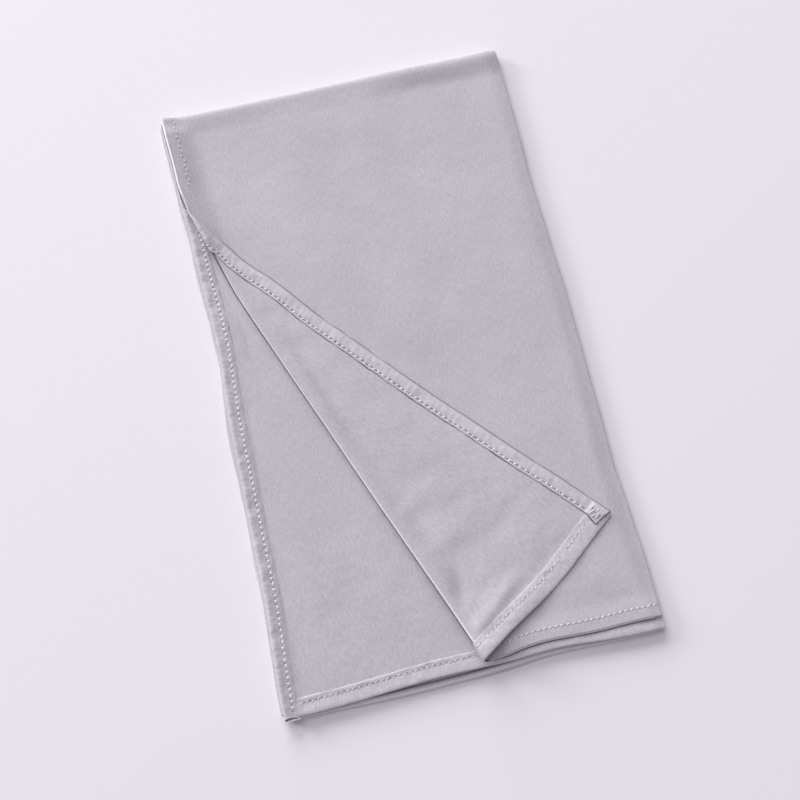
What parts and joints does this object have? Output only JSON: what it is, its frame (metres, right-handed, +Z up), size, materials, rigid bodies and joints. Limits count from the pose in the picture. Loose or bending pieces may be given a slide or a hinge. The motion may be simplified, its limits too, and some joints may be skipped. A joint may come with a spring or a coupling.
{
  "type": "folded jersey hijab",
  "caption": "Rectangular jersey head scarf folded flat to a long bundle, its top corner turned back to show the wrong side and the stitched hems.",
  "frame": {"origin": "on the table plane, under the middle of the folded bundle's bounding box", "axes": "+X across the bundle towards the soft lengthwise fold, with the open long hems at -X; +Y along the bundle towards the closing fold, with the hemmed ends at -Y; +Z up from the table"},
  "size_m": [0.275, 0.4765, 0.023],
  "materials": {
    "jersey_face": "fine plain-knit jersey, right side, soft sheen",
    "jersey_wrong_side": "fine jersey, wrong side, matt with faint lengthwise streaks",
    "jersey_hem": "jersey turned twice and stitched, slightly puffed"
  },
  "bodies": {
    "root": {"front_leaf": "jersey_face", "front_long_hem": "jersey_hem", "front_short_hem": "jersey_hem", "second_leaf": "jersey_wrong_side", "second_long_hem": "jersey_hem", "second_short_hem": "jersey_hem", "hidden_layers": "jersey_face"}
  },
  "joints": []
}
